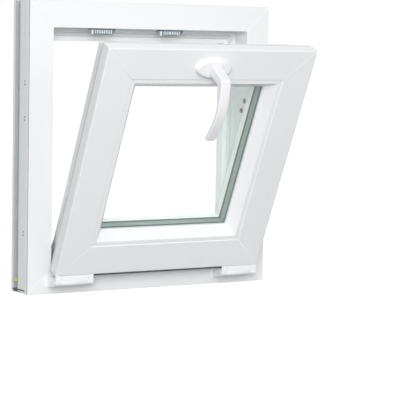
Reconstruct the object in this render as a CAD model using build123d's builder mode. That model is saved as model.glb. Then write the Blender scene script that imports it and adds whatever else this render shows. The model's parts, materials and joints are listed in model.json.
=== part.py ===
"""Bottom-hung tilt window: a white PVC frame, a glazed sash tilted into the room, its stays and handle.

X runs to the right as seen from the room, Y from the room to the open air, and Z up.
The origin lies on the underside of the sill, at the middle of its length and depth.
Sash pieces are drawn as they stand when the window is shut, on planes that are then
turned about the hinge line by the opening angle.
"""
import os
from math import asin, cos, degrees, radians, sin, sqrt

from build123d import *

os.makedirs("parts", exist_ok=True)

# Frame, in millimetres
frame_width = 500
frame_height = 520
frame_depth = 70
frame_face = 47
rebate_depth = 46
leg_height = 23
leg_round = 1.6
gutter_width = 8
gutter_depth = 2
gutter_slope = 0.8
room_arris = 1.2
outer_round = 5.5
clip_groove_start = 40
clip_groove_mouth = 16
clip_groove_depth = 6
clip_groove_undercut = 1.2
score_line_at = 8
score_line_width = 1
drain_slot_length = 28
drain_slot_height = 5
drain_slot_depth = 6
drain_slot_inset = 90
drain_slot_rise = 22

# Sash profile
overlap = 9
sash_proud = 29
flange_thickness = 21
flange_reach = 20
sash_face_width = 58
sash_edge_round = 2.5
bead_step_round = 1.2
rear_round = 1
rebate_floor = 61
glazing_leg_start = 50
glazing_leg_reach = 80
glazing_leg_fall = 4
glazing_leg_round = 1.5
hardware_groove_start = 36
hardware_groove_width = 16
hardware_groove_depth = 5

# Glazing
pane_thickness = 4
pane_gap = 16
pane_edge = 66
bead_setback = 1.5
bead_land = 8
bead_nose = 1.6
bead_foot = 4.3
inner_gasket_thickness = 1.5
outer_gasket_thickness = 2
gasket_heel = 7
gasket_lip = 1.6
gasket_edge = 0.5
spacer_edge = 71
spacer_width = 10.5
seat_gap = 0.3

# Seals between sash and frame
seal_gap = 0.5
frame_seal_thickness = 4
frame_seal_rise = 8
frame_seal_width = 6.5
frame_seal_round = 1.7
sash_seal_start = 1.5
sash_seal_width = 5
sash_seal_round = 2

# Hinge line, measured from the frame's room face and from the underside of the sill
opening_angle = 24.4
hinge_out = 26
hinge_height = 23.5
hinge_inset = 76.5
hinge_length = 75
hinge_knuckle = 11
hinge_radius = 7
hinge_pin_radius = 3
hinge_cap = 2
hinge_plate_low = 12.5
hinge_plate_high = 33
hinge_web_thickness = 6
knuckle_gap = 0.4
running_fit = 0.05
leaf_web = 5
leaf_foot = 3
leaf_foot_reach = 16

# Locking hardware; the keeps are placed from the middle of the head
keep_centres = {"left": -99, "right": 43}
keep_length = 48
keep_width = 18
keep_corner = 2
keep_setback = 8
keep_base = 2.5
keep_height = 10
keep_jaw = 5
keep_lead_in = 7
keep_lead_out = 1
keep_screw_spacing = 32
keep_screw_radius = 2
keep_screw_head_radius = 3.6
keep_recess_start = 30
keep_recess_depth = 6
keep_recess_margin = 5
faceplate_inset = 42
faceplate_thickness = 2.6
cam_radius = 5
cam_neck_radius = 3
cam_height = 6
cam_head = 2.5
cam_head_chamfer = 0.6
cam_clearance = 5

# Stays between the jambs and the sash stiles
stay_pivot_height = 62.5
stay_pivot_setback = 16
stay_length = 90
stay_width = 12
stay_thickness = 2.5
stay_pin_radius = 2.5
stay_pin_head_radius = 4
stay_pin_head = 0.9
stay_collar_radius = 4.4
stay_boss_radius = 3.2
stay_boss_height = 3
stay_side_gap = 0.6
plate_corner = 3
bracket_low = 50
bracket_high = 110
bracket_width = 16
bracket_thickness = 2
bracket_screws = (82.5, 98.5)
bracket_screw_radius = 3.4
bracket_screw_head = 1.4
track_start = 50
track_length = 80
track_width = 28
track_thickness = 1.2
channel_start = 80
channel_length = 44
channel_width = 10
channel_wall = 1.5
channel_wall_height = 1.6
track_screws = (58, 72)
track_screw_radius = 2.6
track_screw_head = 1

# Handle
handle_drop = 34
rose_length = 72
rose_width = 37
rose_thickness = 9
rose_round = 5.5
neck_radius = 8.5
neck_gap = 0.3
neck_seat = 0.5
neck_base = 12.5
lever_width = 19.5
lever_edge_round = 2.6
lever_tip_round = 5.5
lever_elbow_round = 4
lever_shoulder = 9.5
lever_shoulder_half = 9.4
spindle_side = 7
spindle_length = 34
spindle_hole_radius = 7
spindle_hole_depth = 44

# Lever seen from its side: reach from the sash's face and drop below the handle's axis
LEVER_ELBOW = (46, -0.8)
LEVER_FRONT = [(51, 2.5), (58.5, 28), (62.2, 60), (59.4, 82), (48.9, 118)]
LEVER_REAR = [(42.4, 116), (51.8, 82), (54.4, 60), (48, 29), (38, 14)]

# What follows from the sizes above
room_face = -frame_depth / 2
leg_reach = frame_face + leg_height
leg_face = room_face + rebate_depth
sash_inset = frame_face - overlap
sash_width = frame_width - 2 * sash_inset
sash_height = frame_height - 2 * sash_inset
sash_depth = sash_proud + rebate_depth - frame_seal_thickness - seal_gap
sash_face = room_face - sash_proud
sash_bottom = sash_inset
sash_top = frame_height - sash_inset
sash_middle = (sash_bottom + sash_top) / 2
hinge_y = room_face - hinge_out
hinge_z = hinge_height
hinge_centre = frame_width / 2 - hinge_inset
pack_thickness = 2 * pane_thickness + pane_gap
bead_back = glazing_leg_start - outer_gasket_thickness - pack_thickness - inner_gasket_thickness
inner_pane_front = bead_back + inner_gasket_thickness
outer_pane_front = inner_pane_front + pane_thickness + pane_gap

SIDES = {
    "bottom": Vector(0, 0, 1),
    "top": Vector(0, 0, -1),
    "left": Vector(1, 0, 0),
    "right": Vector(-1, 0, 0),
}
INTO_DEPTH = Vector(0, 1, 0)

hinge_line = Location((0, hinge_y, hinge_z))
opening_turn = hinge_line * Location((0, 0, 0), (opening_angle, 0, 0)) * hinge_line.inverse()


def turned(plane):
    """A plane of the shut sash, turned with it to the open position."""
    return Plane(opening_turn * plane.location)


def bar_plane(side, depth, inset, width, height, middle):
    """A plane across one bar of a ring: local x is depth, local y runs inward from the ring's edge."""
    inward = SIDES[side]
    half = height / 2 if side in ("bottom", "top") else width / 2
    edge = Vector(0, depth, middle) - inward * (half - inset)
    return Plane(origin=edge, x_dir=INTO_DEPTH, z_dir=INTO_DEPTH.cross(inward))


def bar_length(side, width, height):
    """The outer length of one bar of a ring."""
    return width if side in ("bottom", "top") else height


def mitred_bar(plane, length, outline, rounds=()):
    """One bar of a ring: its outline extruded, with both ends cut at 45 degrees."""
    with BuildPart() as bar:
        with BuildSketch(plane) as section:
            with BuildLine():
                Polyline(*outline, close=True)
            make_face()
            for corner, radius in rounds:
                fillet(section.vertices().sort_by_distance(corner)[0], radius)
        extrude(amount=length / 2, both=True)
        for end in (-1, 1):
            tip = plane.origin + plane.z_dir * (end * length / 2)
            inward = -plane.y_dir - plane.z_dir * end
            split(bisect_by=Plane(origin=tip, x_dir=plane.x_dir, z_dir=inward))
    return bar.part


def frame_bar(side):
    """One bar of the outer frame."""
    plane = bar_plane(side, room_face, 0, frame_width, frame_height, frame_height / 2)
    groove_low = clip_groove_start
    groove_high = clip_groove_start + clip_groove_mouth
    score_end = score_line_at + score_line_width
    gutter_start = rebate_depth - gutter_width
    outline = [
        (0, 0),
        (score_line_at, 0),
        (score_line_at + score_line_width / 2, score_line_width),
        (score_end, 0),
        (groove_low, 0),
        (groove_low - clip_groove_undercut, clip_groove_depth),
        (groove_high + clip_groove_undercut, clip_groove_depth),
        (groove_high, 0),
        (frame_depth, 0),
        (frame_depth, leg_reach),
        (rebate_depth, leg_reach),
        (rebate_depth, frame_face - gutter_depth),
        (gutter_start + gutter_slope, frame_face - gutter_depth),
        (gutter_start, frame_face),
        (0, frame_face),
    ]
    rounds = [
        ((0, 0), room_arris),
        ((0, frame_face), room_arris),
        ((frame_depth, 0), outer_round),
        ((frame_depth, leg_reach), leg_round),
        ((rebate_depth, leg_reach), leg_round),
    ]
    return mitred_bar(plane, bar_length(side, frame_width, frame_height), outline, rounds)


def sash_plane(side, depth, inset):
    """The turned cross-section plane of one bar of the sash."""
    plane = bar_plane(side, sash_face + depth, inset, sash_width, sash_height, sash_middle)
    return turned(plane)


def sash_length(side, inset):
    """The length of one bar of a ring set in from the sash's edge."""
    return bar_length(side, sash_width - 2 * inset, sash_height - 2 * inset)


def sash_bar(side):
    """One bar of the sash frame."""
    groove_end = hardware_groove_start + hardware_groove_width
    groove_floor = flange_reach + hardware_groove_depth
    leg_corner = (sash_depth, glazing_leg_reach - glazing_leg_fall)
    outline = [
        (0, 0),
        (flange_thickness, 0),
        (flange_thickness, flange_reach),
        (hardware_groove_start, flange_reach),
        (hardware_groove_start, groove_floor),
        (groove_end, groove_floor),
        (groove_end, flange_reach),
        (sash_depth, flange_reach),
        leg_corner,
        (glazing_leg_start, glazing_leg_reach),
        (glazing_leg_start, rebate_floor),
        (bead_foot, rebate_floor),
        (bead_foot, sash_face_width),
        (0, sash_face_width),
    ]
    rounds = [
        ((0, 0), sash_edge_round),
        ((0, sash_face_width), bead_step_round),
        ((flange_thickness, 0), rear_round),
        ((sash_depth, flange_reach), rear_round),
        (leg_corner, glazing_leg_round),
        ((glazing_leg_start, glazing_leg_reach), rear_round),
    ]
    return mitred_bar(sash_plane(side, 0, 0), sash_length(side, 0), outline, rounds)


def bead_bar(side):
    """One glazing bead, seated in the corner of the sash's glazing rebate."""
    start = sash_face_width
    nose_end = glazing_leg_reach - start
    floor = rebate_floor - start
    outline = [
        (bead_setback, 0),
        (bead_setback, bead_land),
        (bead_back - bead_nose, nose_end),
        (bead_back, nose_end),
        (bead_back, floor),
        (bead_foot, floor),
        (bead_foot, 0),
    ]
    rounds = [
        ((bead_setback, bead_land), bead_nose),
        ((bead_back - bead_nose, nose_end), bead_nose / 2),
    ]
    return mitred_bar(sash_plane(side, 0, start), sash_length(side, start), outline, rounds)


def joined_ring(bars):
    """Four mitred bars fused into one closed ring."""
    with BuildPart() as joined:
        for bar in bars:
            add(bar)
    return joined.part


def sash_ring(depth, inset, outline, rounds=()):
    """A closed four-sided ring on the sash."""
    bars = []
    for side in SIDES:
        plane = sash_plane(side, depth, inset)
        bars.append(mitred_bar(plane, sash_length(side, inset), outline, rounds))
    return joined_ring(bars)


def facing(depth):
    """A turned plane parallel to the sash's face, at a depth behind it, looking into the room."""
    middle = (0, sash_face + depth, sash_middle)
    return turned(Plane(origin=middle, x_dir=(1, 0, 0), z_dir=(0, -1, 0)))


def save(part, name):
    """Label a finished piece and write it as its own STEP file."""
    part.label = name
    export_step(part, f"parts/{name}.step")


# Frame bars, with two drain slots in the outside face of the sill
for side, name in (("top", "frame_head"), ("left", "frame_left_jamb"), ("right", "frame_right_jamb")):
    save(frame_bar(side), name)

sill_bar = frame_bar("bottom")
outside_face = Plane(origin=(0, frame_depth / 2, drain_slot_rise), x_dir=(1, 0, 0), z_dir=(0, -1, 0))
drain_slot_x = frame_width / 2 - drain_slot_inset
with BuildPart() as frame_sill:
    add(sill_bar)
    with BuildSketch(outside_face):
        with Locations((-drain_slot_x, 0), (drain_slot_x, 0)):
            SlotOverall(drain_slot_length, drain_slot_height)
    extrude(amount=drain_slot_depth, mode=Mode.SUBTRACT)
save(frame_sill.part, "frame_sill")

# Seal round the frame's outer leg, facing the sash
seal_inset = frame_face + frame_seal_rise
seal_outline = [
    (-frame_seal_thickness, 0),
    (-frame_seal_thickness, frame_seal_width),
    (0, frame_seal_width),
    (0, 0),
]
seal_rounds = [(seal_outline[0], frame_seal_round), (seal_outline[1], frame_seal_round)]
seal_bars = []
for side in SIDES:
    plane = bar_plane(side, leg_face, seal_inset, frame_width, frame_height, frame_height / 2)
    length = bar_length(side, frame_width - 2 * seal_inset, frame_height - 2 * seal_inset)
    seal_bars.append(mitred_bar(plane, length, seal_outline, seal_rounds))
save(joined_ring(seal_bars), "frame_gasket")

# Sash bars; the top rail is bored for the handle's spindle and cut back where it passes the keeps
for side, name in (("bottom", "sash_bottom_rail"), ("left", "sash_left_stile"), ("right", "sash_right_stile")):
    save(sash_bar(side), name)

handle_z = sash_top - handle_drop
handle_plane = turned(Plane(origin=(0, sash_face, handle_z), x_dir=(1, 0, 0), z_dir=(0, -1, 0)))
rail_seat = sash_top - flange_reach
recess_depth = sash_depth - keep_recess_start
recess_middle = sash_face + keep_recess_start + recess_depth / 2
recess_plane = turned(Plane(origin=(0, recess_middle, rail_seat), z_dir=(0, 0, 1)))
rail_bar = sash_bar("top")
with BuildPart() as sash_top_rail:
    add(rail_bar)
    with BuildSketch(handle_plane):
        Circle(spindle_hole_radius)
    extrude(amount=-spindle_hole_depth, mode=Mode.SUBTRACT)
    with BuildSketch(recess_plane):
        for centre in keep_centres.values():
            with Locations((centre, 0)):
                Rectangle(keep_length + 2 * keep_recess_margin, recess_depth)
    extrude(amount=-keep_recess_depth, mode=Mode.SUBTRACT)
save(sash_top_rail.part, "sash_top_rail")

# Glazing beads, seals, panes and the spacer between them
for side in SIDES:
    save(bead_bar(side), f"{side}_glazing_bead")

gasket_top = glazing_leg_reach - pane_edge + gasket_lip
gasket_foot = gasket_top - gasket_heel - gasket_lip
inner_outline = [
    (0, gasket_foot),
    (0, gasket_top - gasket_lip),
    (gasket_edge, gasket_top),
    (inner_gasket_thickness, gasket_top),
    (inner_gasket_thickness, gasket_foot),
]
save(sash_ring(bead_back, pane_edge, inner_outline), "inner_glazing_gasket")

outer_outline = [
    (0, gasket_foot),
    (0, gasket_top),
    (outer_gasket_thickness - gasket_edge, gasket_top),
    (outer_gasket_thickness, gasket_top - gasket_lip),
    (outer_gasket_thickness, gasket_foot),
]
save(sash_ring(outer_pane_front + pane_thickness, pane_edge, outer_outline), "outer_glazing_gasket")

pane_width = sash_width - 2 * pane_edge
pane_height = sash_height - 2 * pane_edge
for name, front in (("inner_pane", inner_pane_front), ("outer_pane", outer_pane_front)):
    with BuildPart() as pane:
        with BuildSketch(facing(front + pane_thickness)):
            Rectangle(pane_width, pane_height)
        extrude(amount=pane_thickness)
    save(pane.part, name)

spacer_inner_edge = spacer_edge + spacer_width
with BuildPart() as spacer_frame:
    with BuildSketch(facing(outer_pane_front)):
        Rectangle(sash_width - 2 * spacer_edge, sash_height - 2 * spacer_edge)
        Rectangle(
            sash_width - 2 * spacer_inner_edge,
            sash_height - 2 * spacer_inner_edge,
            mode=Mode.SUBTRACT,
        )
    extrude(amount=pane_gap)
save(spacer_frame.part, "spacer_frame")

# Seal behind the sash's overlapping flange
sash_seal_end = sash_proud - seal_gap - flange_thickness
sash_seal_outline = [
    (0, 0),
    (0, sash_seal_width),
    (sash_seal_end, sash_seal_width),
    (sash_seal_end, 0),
]
sash_seal_rounds = [(sash_seal_outline[2], sash_seal_round), (sash_seal_outline[3], sash_seal_round)]
sash_seal = sash_ring(flange_thickness, sash_seal_start, sash_seal_outline, sash_seal_rounds)
save(sash_seal, "sash_gasket")

# Hinges: a bracket on the sill's face, a pin, and a leaf under the sash's bottom rail
pin_length = hinge_length - 2 * hinge_cap
plate_middle = (hinge_plate_low + hinge_plate_high) / 2
leaf_length = hinge_length - 2 * hinge_knuckle - 2 * knuckle_gap
for side, sign in (("left", -1), ("right", 1)):
    centre = sign * hinge_centre
    outer_end = centre - hinge_length / 2
    with BuildPart() as hinge_bracket:
        for start, length in ((outer_end, hinge_knuckle), (centre + hinge_length / 2, -hinge_knuckle)):
            with BuildSketch(Plane.YZ.offset(start)):
                with BuildLine():
                    Polyline(
                        (room_face, hinge_plate_low),
                        (room_face, hinge_plate_high),
                        (hinge_y, hinge_z + hinge_radius),
                        (hinge_y, hinge_z - hinge_radius),
                        close=True,
                    )
                make_face()
                with Locations((hinge_y, hinge_z)):
                    Circle(hinge_radius)
            extrude(amount=length)
        with BuildSketch(Plane.YZ.offset(outer_end)):
            with Locations((room_face, plate_middle)):
                Rectangle(
                    hinge_web_thickness,
                    hinge_plate_high - hinge_plate_low,
                    align=(Align.MAX, Align.CENTER),
                )
        extrude(amount=hinge_length)
        with BuildSketch(Plane.YZ.offset(outer_end + hinge_cap)):
            with Locations((hinge_y, hinge_z)):
                Circle(hinge_pin_radius)
        extrude(amount=pin_length, mode=Mode.SUBTRACT)
    save(hinge_bracket.part, f"{side}_hinge_bracket")

    with BuildPart() as hinge_pin:
        with BuildSketch(Plane.YZ.offset(outer_end + hinge_cap)):
            with Locations((hinge_y, hinge_z)):
                Circle(hinge_pin_radius)
        extrude(amount=pin_length)
    save(hinge_pin.part, f"{side}_hinge_pin")

    leaf_start = turned(Plane.YZ.offset(centre - leaf_length / 2))
    web_front = hinge_y - leaf_web / 2
    with BuildPart() as hinge_leaf:
        with BuildSketch(leaf_start):
            with Locations((hinge_y, hinge_z)):
                Circle(hinge_radius)
            with BuildLine():
                Polyline(
                    (web_front, hinge_z),
                    (web_front, sash_bottom),
                    (web_front + leaf_foot_reach, sash_bottom),
                    (web_front + leaf_foot_reach, sash_bottom - leaf_foot),
                    (web_front + leaf_web, sash_bottom - leaf_foot),
                    (web_front + leaf_web, hinge_z),
                    close=True,
                )
            make_face()
        extrude(amount=leaf_length)
        with BuildSketch(leaf_start):
            with Locations((hinge_y, hinge_z)):
                Circle(hinge_pin_radius + running_fit)
        extrude(amount=leaf_length, mode=Mode.SUBTRACT)
    save(hinge_leaf.part, f"{side}_hinge_leaf")

# Keeps under the frame's head
head_rebate = frame_height - frame_face
keep_room_edge = room_face + keep_setback
screw_row = keep_room_edge + keep_jaw + (keep_width - keep_jaw) / 2
for side, centre in keep_centres.items():
    screw_face = Plane(origin=(centre, screw_row, head_rebate - keep_base), z_dir=(0, 0, -1))
    with BuildPart() as keep:
        with BuildSketch(Plane.XY.offset(head_rebate)):
            with Locations((centre, keep_room_edge + keep_width / 2)):
                RectangleRounded(keep_length, keep_width, keep_corner)
        extrude(amount=-keep_base)
        with BuildSketch(Plane.XY.offset(head_rebate)):
            with Locations((centre, keep_room_edge)):
                Rectangle(keep_length, keep_jaw, align=(Align.CENTER, Align.MIN))
        extrude(amount=-keep_height)
        jaw_end = keep.edges().filter_by(Axis.Y).group_by(Axis.Z)[0].sort_by(Axis.X)[-1]
        chamfer(jaw_end, keep_height - keep_base - keep_lead_out, keep_lead_in)
        with Locations(screw_face):
            with GridLocations(keep_screw_spacing, 0, 2, 1):
                CounterSinkHole(keep_screw_radius, keep_screw_head_radius, depth=keep_base)
    save(keep.part, f"{side}_keep")

# Lock rail let into the sash's top edge, with the two locking cams that slide into the keeps
groove_middle = sash_face + hardware_groove_start + hardware_groove_width / 2
groove_bed = turned(Plane(origin=(0, groove_middle, rail_seat - hardware_groove_depth), z_dir=(0, 0, 1)))
with BuildPart() as lock_rail:
    with BuildSketch(groove_bed):
        SlotOverall(sash_width - 2 * faceplate_inset, hardware_groove_width - seat_gap)
    extrude(amount=faceplate_thickness)
save(lock_rail.part, "lock_rail")

cam_foot = groove_bed.offset(faceplate_thickness)
for side, centre in keep_centres.items():
    cam_x = centre + keep_length / 2 + cam_clearance + cam_radius
    with BuildPart() as locking_cam:
        with BuildSketch(cam_foot):
            with Locations((cam_x, 0)):
                Circle(cam_neck_radius)
        extrude(amount=cam_height)
        with BuildSketch(cam_foot.offset(cam_height - cam_head)):
            with Locations((cam_x, 0)):
                Circle(cam_radius)
        extrude(amount=cam_head)
        head = locking_cam.faces().sort_by(Axis(groove_bed.origin, groove_bed.z_dir))[-1]
        chamfer(head.edges(), cam_head_chamfer)
    save(locking_cam.part, f"{side}_locking_cam")

# Stays: a bracket on each jamb, an arm, and a track on the stile that its boss slides in
stay_y = room_face + stay_pivot_setback
opened = radians(opening_angle)
pivot_dy = stay_y - hinge_y
pivot_dz = stay_pivot_height - hinge_z
track_offset = pivot_dy * cos(opened) + pivot_dz * sin(opened) - pivot_dy
stay_angle = opening_angle + degrees(asin(track_offset / stay_length))
print("stay opens by", round(stay_angle, 3), "degrees, ratio", round(stay_angle / opening_angle, 5))
travel_low = hinge_z - pivot_dy * sin(opened) + pivot_dz * cos(opened)
print("boss in the track from", round(travel_low + sqrt(stay_length**2 - track_offset**2), 1),
      "to", round(stay_pivot_height + stay_length, 1))

pivot_turn = Location((0, stay_y, stay_pivot_height))
arm_turn = pivot_turn * Location((0, 0, 0), (stay_angle, 0, 0)) * pivot_turn.inverse()
arm_lift = bracket_thickness + bracket_screw_head + stay_side_gap
for side, sign in (("left", -1), ("right", 1)):
    jamb = Plane(
        origin=(sign * (frame_width / 2 - frame_face), stay_y, 0),
        x_dir=(0, 1, 0),
        z_dir=(-sign, 0, 0),
    )
    up = 1 if jamb.y_dir.Z > 0 else -1
    pivot = (0, up * stay_pivot_height)
    bracket_top = jamb.offset(bracket_thickness)
    pin_top = jamb.offset(arm_lift + stay_thickness + stay_side_gap / 2)
    with BuildPart() as stay_bracket:
        with BuildSketch(jamb):
            with Locations((0, up * (bracket_low + bracket_high) / 2)):
                RectangleRounded(bracket_width, bracket_high - bracket_low, plate_corner)
        extrude(amount=bracket_thickness)
        with BuildSketch(bracket_top):
            for height in bracket_screws:
                with Locations((0, up * height)):
                    Circle(bracket_screw_radius)
        extrude(amount=bracket_screw_head)
        with BuildSketch(bracket_top):
            with Locations(pivot):
                Circle(stay_collar_radius)
        extrude(amount=bracket_screw_head + stay_side_gap / 2)
        with BuildSketch(bracket_top):
            with Locations(pivot):
                Circle(stay_pin_radius)
        extrude(amount=arm_lift - bracket_thickness + stay_thickness + stay_side_gap / 2)
        with BuildSketch(pin_top):
            with Locations(pivot):
                Circle(stay_pin_head_radius)
        extrude(amount=stay_pin_head)
    save(stay_bracket.part, f"{side}_stay_bracket")

    turned_arm = Plane(arm_turn * jamb.offset(arm_lift).location)
    with BuildPart() as stay_arm:
        with BuildSketch(turned_arm):
            with Locations((0, up * (stay_pivot_height + stay_length / 2))):
                SlotCenterToCenter(stay_length, stay_width, rotation=90)
            with Locations(pivot):
                Circle(stay_pin_radius + running_fit, mode=Mode.SUBTRACT)
        extrude(amount=stay_thickness)
        with BuildSketch(turned_arm.offset(stay_thickness)):
            with Locations((0, up * (stay_pivot_height + stay_length))):
                Circle(stay_boss_radius)
        extrude(amount=stay_boss_height)
    save(stay_arm.part, f"{side}_stay_arm")

    stile_x = sign * (sash_width / 2 - flange_reach)
    stile = turned(Plane(origin=(stile_x, stay_y, sash_bottom), x_dir=(0, 1, 0), z_dir=(sign, 0, 0)))
    rise = 1 if sign > 0 else -1
    track_top = stile.offset(track_thickness)
    wall_middle = (channel_width + channel_wall) / 2
    with BuildPart() as stay_track:
        with BuildSketch(stile):
            with Locations((0, rise * (track_start + track_length / 2))):
                RectangleRounded(track_width, track_length, plate_corner)
        extrude(amount=track_thickness)
        with BuildSketch(track_top):
            with Locations((0, rise * (channel_start + channel_length / 2))):
                with Locations((-wall_middle, 0), (wall_middle, 0)):
                    Rectangle(channel_wall, channel_length)
        extrude(amount=channel_wall_height)
        with BuildSketch(track_top):
            for height in track_screws:
                with Locations((0, rise * height)):
                    Circle(track_screw_radius)
        extrude(amount=track_screw_head)
    save(stay_track.part, f"{side}_stay_track")

# Handle: an oval rose, a cranked lever and a square spindle
with BuildPart() as handle_rose:
    with BuildSketch(handle_plane):
        Ellipse(rose_length / 2, rose_width / 2)
        Circle(neck_radius + neck_gap, mode=Mode.SUBTRACT)
    extrude(amount=rose_thickness)
    front = handle_rose.faces().sort_by(Axis(handle_plane.origin, handle_plane.z_dir))[-1]
    fillet(front.outer_wire().edges(), rose_round)
save(handle_rose.part, "handle_rose")


def side_point(point):
    """A point of the lever's side view on its sketch plane."""
    reach, drop = point
    return reach, -drop


lever_side = turned(Plane(origin=(0, sash_face, handle_z), x_dir=(0, -1, 0), z_dir=(-1, 0, 0)))
elbow = side_point(LEVER_ELBOW)
front_line = [side_point(point) for point in LEVER_FRONT]
rear_line = [side_point(point) for point in LEVER_REAR]
shoulder_top = (lever_shoulder, lever_shoulder_half)
shoulder_low = (lever_shoulder, -lever_shoulder_half)
with BuildPart() as handle_lever:
    with BuildSketch(lever_side) as side_view:
        with BuildLine():
            Polyline(shoulder_top, elbow, front_line[0])
            Spline(*front_line)
            Line(front_line[-1], rear_line[0])
            Spline(*rear_line)
            Polyline(rear_line[-1], shoulder_low, shoulder_top)
        make_face()
        for corner in (elbow, front_line[0], rear_line[-1]):
            fillet(side_view.vertices().sort_by_distance(corner)[0], lever_elbow_round)
    extrude(amount=lever_width / 2, both=True)
    tip_middle = (Vector(*front_line[-1]) + Vector(*rear_line[0])) / 2
    tip = handle_lever.faces().sort_by_distance(lever_side.from_local_coords(tip_middle))[0]
    fillet(tip.edges().filter_by(Axis.X, reverse=True), lever_tip_round)
    fillet(handle_lever.faces().filter_by(Plane.YZ).edges(), lever_edge_round)
    with BuildSketch(handle_plane.offset(neck_seat)):
        Circle(neck_radius)
    extrude(amount=neck_base - neck_seat)
save(handle_lever.part, "handle_lever")

with BuildPart() as handle_spindle:
    with BuildSketch(handle_plane.offset(neck_seat)):
        Rectangle(spindle_side, spindle_side)
    extrude(amount=-spindle_length)
save(handle_spindle.part, "handle_spindle")
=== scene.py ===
"""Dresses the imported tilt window: finishes for every CAD piece, the small parts round them and the stage.

Everything is in metres in the CAD frame: X to the right seen from the room, Y towards the open
air, Z up. Sizes below are in millimetres and are turned to metres where a mesh is made.
"""
import json
from math import cos, pi, radians, sin

import bmesh
import bpy
from bpy.props import BoolProperty, FloatProperty, FloatVectorProperty, PointerProperty
from mathutils import Matrix, Vector


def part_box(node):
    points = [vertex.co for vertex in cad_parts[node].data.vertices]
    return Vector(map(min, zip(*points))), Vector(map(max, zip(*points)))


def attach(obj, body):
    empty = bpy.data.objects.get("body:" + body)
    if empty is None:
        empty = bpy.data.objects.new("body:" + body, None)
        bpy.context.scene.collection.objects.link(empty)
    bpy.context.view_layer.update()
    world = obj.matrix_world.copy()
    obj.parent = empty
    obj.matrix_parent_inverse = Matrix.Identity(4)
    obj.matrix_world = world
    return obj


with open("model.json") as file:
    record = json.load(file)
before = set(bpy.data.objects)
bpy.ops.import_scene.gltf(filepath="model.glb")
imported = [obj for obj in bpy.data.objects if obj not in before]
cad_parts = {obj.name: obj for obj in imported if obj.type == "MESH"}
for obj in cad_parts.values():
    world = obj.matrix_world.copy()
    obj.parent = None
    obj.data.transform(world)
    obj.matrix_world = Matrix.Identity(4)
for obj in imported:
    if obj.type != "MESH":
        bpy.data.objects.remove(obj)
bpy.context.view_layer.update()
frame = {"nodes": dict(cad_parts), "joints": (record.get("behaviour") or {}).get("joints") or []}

bl_info = {
    "name": "Tilt window",
    "version": (1, 0, 0),
    "blender": (4, 5, 0),
    "location": "View3D > Sidebar > Tilt window",
    "description": "Finishes, trim and stage for a small bottom-hung tilt window",
    "category": "Object",
}

MM = 0.001
SHARP_ABOVE = 40   # degrees between two faces from which their edge looks sharp
X, Y, Z = 0, 1, 2


def span(node, axis):
    """Where a CAD piece starts and stops along an axis, in millimetres."""
    low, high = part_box(node)
    return round(low[axis] / MM, 3), round(high[axis] / MM, 3)


# Sizes in millimetres, from the CAD pieces where their boxes give them

FRAME_LEFT, FRAME_RIGHT = span("frame_head", X)
FRAME_WIDTH = FRAME_RIGHT - FRAME_LEFT
FRAME_HEIGHT = span("frame_head", Z)[1]
ROOM_FACE = span("frame_head", Y)[0]
LINING_TOP = span("left_keep", Z)[1]
FRAME_FACE = FRAME_HEIGHT - LINING_TOP
KEEP_CENTRES = [sum(span(keep, X)) / 2 for keep in ("left_keep", "right_keep")]
KEEP_FRONT = span("left_keep", Y)[0]
KEEP_SCREW_ROW = KEEP_FRONT + 11.5
HINGE_START, HINGE_STOP = span("right_hinge_bracket", X)
HINGE_CENTRE = (HINGE_START + HINGE_STOP) / 2
HINGE_HALF = (HINGE_STOP - HINGE_START) / 2

# The sash's own sizes, as it has them when shut

SASH_OVERLAP = 9
SASH_PROUD = 29
SASH_INSET = FRAME_FACE - SASH_OVERLAP
SASH_WIDTH = FRAME_WIDTH - 2 * SASH_INSET
SASH_HEIGHT = FRAME_HEIGHT - 2 * SASH_INSET
SASH_FACE = ROOM_FACE - SASH_PROUD
HANDLE_HEIGHT = 410
SEALANT_DEPTHS = (28.02, 29.0), (43.0, 43.98)
SPACER_SIGHT = 81.5

# The sash is open by the whole range of its joint

TILT = next(joint for joint in frame["joints"] if joint["name"] == "sash_tilt")
OPENING = -TILT["range_deg"][0]
HINGE = Vector([round(value / MM, 3) for value in TILT["pos_m"]])
TURN = Matrix.Translation(HINGE) @ Matrix.Rotation(radians(OPENING), 4, "X") @ Matrix.Translation(-HINGE)


def srgb(code):
    """A hex colour as linear red, green, blue and an alpha of one."""
    values = [int(code[i:i + 2], 16) / 255 for i in (1, 3, 5)]
    linear = [v / 12.92 if v <= 0.04045 else ((v + 0.055) / 1.055) ** 2.4 for v in values]
    return (*linear, 1.0)


def srgb3(code):
    """The same without the alpha, for colour properties."""
    return srgb(code)[:3]


# Settings that a user would change

class PvcSettings(bpy.types.PropertyGroup):
    """The extruded PVC bars."""
    colour: FloatVectorProperty(
        name="PVC colour", description="Colour of the frame and sash bars",
        subtype="COLOR", size=3, min=0, max=1, default=srgb3("#F1F2F3"))
    # Below one, the sash tone darkens the sash bars beside the frame bars as painted shade
    sash_tone: FloatProperty(
        name="Sash tone", description="How light the sash bars are beside the frame bars", subtype="FACTOR",
        min=0.5, max=1, default=1.0)
    roughness: FloatProperty(
        name="Roughness", description="Gloss of the extruded surface", subtype="FACTOR",
        min=0, max=1, default=0.34)
    weld_width: FloatProperty(
        name="Weld width", description="Width of the trimmed weld line at each corner, in millimetres",
        min=0.2, max=4, default=1.3)
    weld_height: FloatProperty(
        name="Weld height", description="How far the weld line stands proud, in millimetres",
        min=0.05, max=1, default=0.22)


class HandleSettings(bpy.types.PropertyGroup):
    """The handle's paint."""
    colour: FloatVectorProperty(
        name="Handle colour", description="Powder coat of the handle",
        subtype="COLOR", size=3, min=0, max=1, default=srgb3("#F4F4F7"))


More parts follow.
